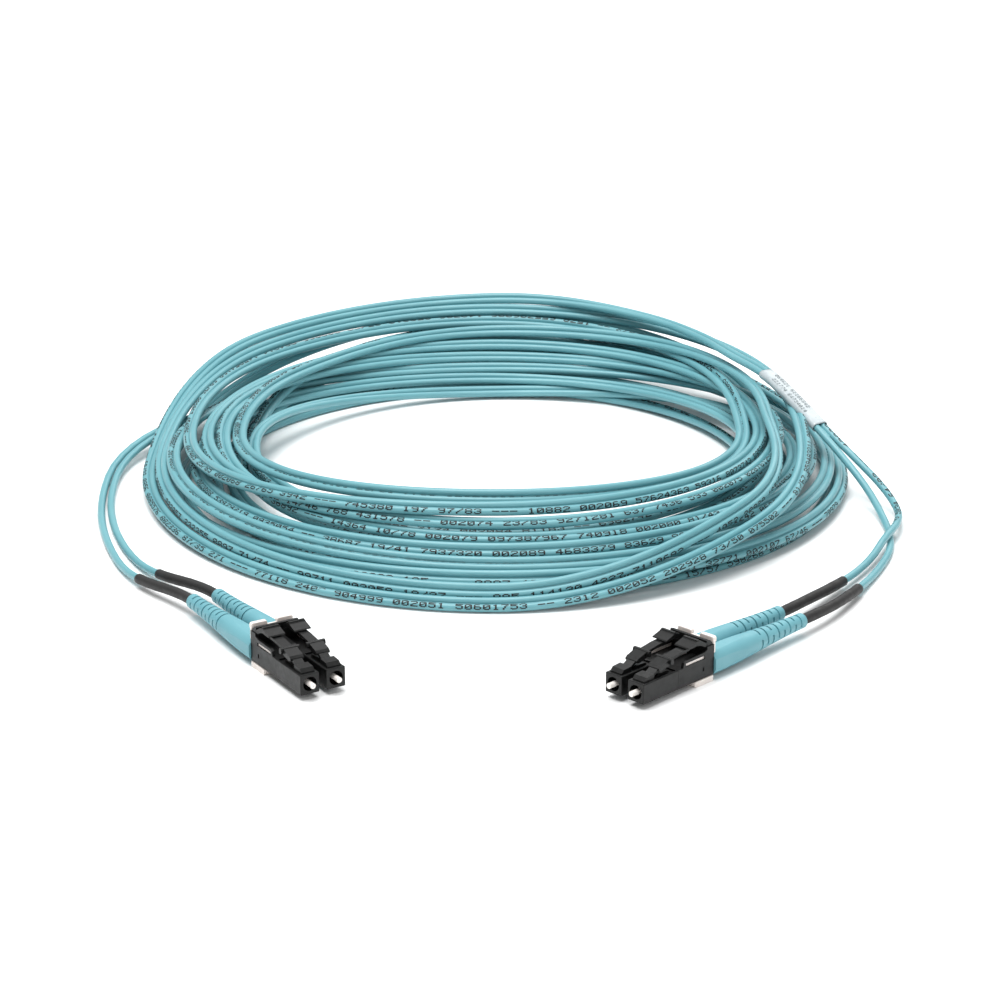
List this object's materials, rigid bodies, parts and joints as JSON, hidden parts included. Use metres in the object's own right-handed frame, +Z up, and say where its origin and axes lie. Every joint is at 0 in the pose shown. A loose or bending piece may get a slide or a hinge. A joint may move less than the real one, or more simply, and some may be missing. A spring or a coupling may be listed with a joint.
{
  "type": "fiber optic patch cord",
  "caption": "Coiled flexible duplex cord with a clipped pair of latching fibre plugs, long bend boots and protective tubing at each end.",
  "frame": {"origin": "on the surface the cord lies on, under the middle of the bounding box of the two plug ends (cord, coil, tubing and label left out)", "axes": "+X to the right along the two ends' longest extent, +Y back towards the coil, +Z up from the surface, the two ends' shortest extent"},
  "size_m": [0.1966, 0.2417, 0.0227],
  "materials": {
    "plug_black": "satin moulded",
    "clip_black": "satin moulded",
    "clip_white": "satin moulded",
    "zirconia": "polished ceramic",
    "plated_metal": "nickel plated, turned",
    "spring_steel": "drawn wire",
    "fibre_coat": "smooth coating",
    "boot_aqua": "matte moulded elastomer",
    "jacket_aqua": "smooth extruded, slight sheen",
    "tubing_black": "matte",
    "label_white": "smooth sleeve"
  },
  "bodies": {
    "cord_and_ends": {"duplex_clip_a": "clip_black", "polarity_clip_a": "clip_white", "plug_housing_a1": "plug_black", "ferrule_spring_a1": "spring_steel", "crimp_body_a1": "plated_metal", "crimp_sleeve_a1": "plated_metal", "boot_a1": "boot_aqua", "cable_leg_a1": "jacket_aqua", "tubing_a1": "tubing_black", "plug_housing_a2": "plug_black", "ferrule_spring_a2": "spring_steel", "crimp_body_a2": "plated_metal", "crimp_sleeve_a2": "plated_metal", "boot_a2": "boot_aqua", "cable_leg_a2": "jacket_aqua", "tubing_a2": "tubing_black", "duplex_clip_b": "clip_black", "polarity_clip_b": "clip_white", "plug_housing_b1": "plug_black", "ferrule_spring_b1": "spring_steel", "crimp_body_b1": "plated_metal", "crimp_sleeve_b1": "plated_metal", "boot_b1": "boot_aqua", "cable_leg_b1": "jacket_aqua", "tubing_b1": "tubing_black", "plug_housing_b2": "plug_black", "ferrule_spring_b2": "spring_steel", "crimp_body_b2": "plated_metal", "crimp_sleeve_b2": "plated_metal", "boot_b2": "boot_aqua", "cable_leg_b2": "jacket_aqua", "tubing_b2": "tubing_black", "coil": "jacket_aqua", "label_sleeve": "label_white"},
    "release_trigger_a1": {"trigger_a1": "clip_black"},
    "latch_a1": {"latch_lever_a1": "plug_black"},
    "fibre_tip_a1": {"ferrule_a1": "zirconia", "ferrule_flange_a1": "plated_metal", "buffered_fibre_a1": "fibre_coat"},
    "release_trigger_a2": {"trigger_a2": "clip_black"},
    "latch_a2": {"latch_lever_a2": "plug_black"},
    "fibre_tip_a2": {"ferrule_a2": "zirconia", "ferrule_flange_a2": "plated_metal", "buffered_fibre_a2": "fibre_coat"},
    "release_trigger_b1": {"trigger_b1": "clip_black"},
    "latch_b1": {"latch_lever_b1": "plug_black"},
    "fibre_tip_b1": {"ferrule_b1": "zirconia", "ferrule_flange_b1": "plated_metal", "buffered_fibre_b1": "fibre_coat"},
    "release_trigger_b2": {"trigger_b2": "clip_black"},
    "latch_b2": {"latch_lever_b2": "plug_black"},
    "fibre_tip_b2": {"ferrule_b2": "zirconia", "ferrule_flange_b2": "plated_metal", "buffered_fibre_b2": "fibre_coat"}
  },
  "joints": [
    {"name": "trigger_press_a1", "type": "hinge", "parent": "cord_and_ends", "child": "release_trigger_a1", "pos_m": [-0.04924, -0.00567, 0.0088], "axis": [0.8536, 0.521, 0], "range_deg": [0, 18], "stiffness_Nm_per_rad": 0.05},
    {"name": "latch_bend_a1", "type": "hinge", "parent": "cord_and_ends", "child": "latch_a1", "pos_m": [-0.04103, -0.01912, 0.00635], "axis": [0.8536, 0.521, 0], "range_deg": [-9, 0]},
    {"name": "ferrule_retract_a1", "type": "slide", "parent": "cord_and_ends", "child": "fibre_tip_a1", "axis": [-0.521, 0.8536, 0], "range_m": [0, 0.0008], "stiffness_N_per_m": 1500, "springref_m": -0.003, "deforming": ["ferrule_spring_a1"]},
    {"name": "trigger_press_a2", "type": "hinge", "parent": "cord_and_ends", "child": "release_trigger_a2", "pos_m": [-0.0439, -0.00242, 0.0088], "axis": [0.8536, 0.521, 0], "range_deg": [0, 18], "stiffness_Nm_per_rad": 0.05},
    {"name": "latch_bend_a2", "type": "hinge", "parent": "cord_and_ends", "child": "latch_a2", "pos_m": [-0.0357, -0.01586, 0.00635], "axis": [0.8536, 0.521, 0], "range_deg": [-9, 0]},
    {"name": "ferrule_retract_a2", "type": "slide", "parent": "cord_and_ends", "child": "fibre_tip_a2", "axis": [-0.521, 0.8536, 0], "range_m": [0, 0.0008], "stiffness_N_per_m": 1500, "springref_m": -0.003, "deforming": ["ferrule_spring_a2"]},
    {"name": "trigger_press_b1", "type": "hinge", "parent": "cord_and_ends", "child": "release_trigger_b1", "pos_m": [0.0389, -0.00839, 0.0088], "axis": [0.7242, -0.6896, 0], "range_deg": [0, 18], "stiffness_Nm_per_rad": 0.05},
    {"name": "latch_bend_b1", "type": "hinge", "parent": "cord_and_ends", "child": "latch_b1", "pos_m": [0.02804, -0.01979, 0.00635], "axis": [0.7242, -0.6896, 0], "range_deg": [-9, 0]},
    {"name": "ferrule_retract_b1", "type": "slide", "parent": "cord_and_ends", "child": "fibre_tip_b1", "axis": [0.6896, 0.7242, 0], "range_m": [0, 0.0008], "stiffness_N_per_m": 1500, "springref_m": -0.003, "deforming": ["ferrule_spring_b1"]},
    {"name": "trigger_press_b2", "type": "hinge", "parent": "cord_and_ends", "child": "release_trigger_b2", "pos_m": [0.04342, -0.0127, 0.0088], "axis": [0.7242, -0.6896, 0], "range_deg": [0, 18], "stiffness_Nm_per_rad": 0.05},
    {"name": "latch_bend_b2", "type": "hinge", "parent": "cord_and_ends", "child": "latch_b2", "pos_m": [0.03256, -0.0241, 0.00635], "axis": [0.7242, -0.6896, 0], "range_deg": [-9, 0]},
    {"name": "ferrule_retract_b2", "type": "slide", "parent": "cord_and_ends", "child": "fibre_tip_b2", "axis": [0.6896, 0.7242, 0], "range_m": [0, 0.0008], "stiffness_N_per_m": 1500, "springref_m": -0.003, "deforming": ["ferrule_spring_b2"]}
  ],
  "couplings": [
    {"joint": "latch_bend_a1", "follows": "trigger_press_a1", "ratio": -0.495},
    {"joint": "latch_bend_a2", "follows": "trigger_press_a2", "ratio": -0.495},
    {"joint": "latch_bend_b1", "follows": "trigger_press_b1", "ratio": -0.495},
    {"joint": "latch_bend_b2", "follows": "trigger_press_b2", "ratio": -0.495}
  ]
}
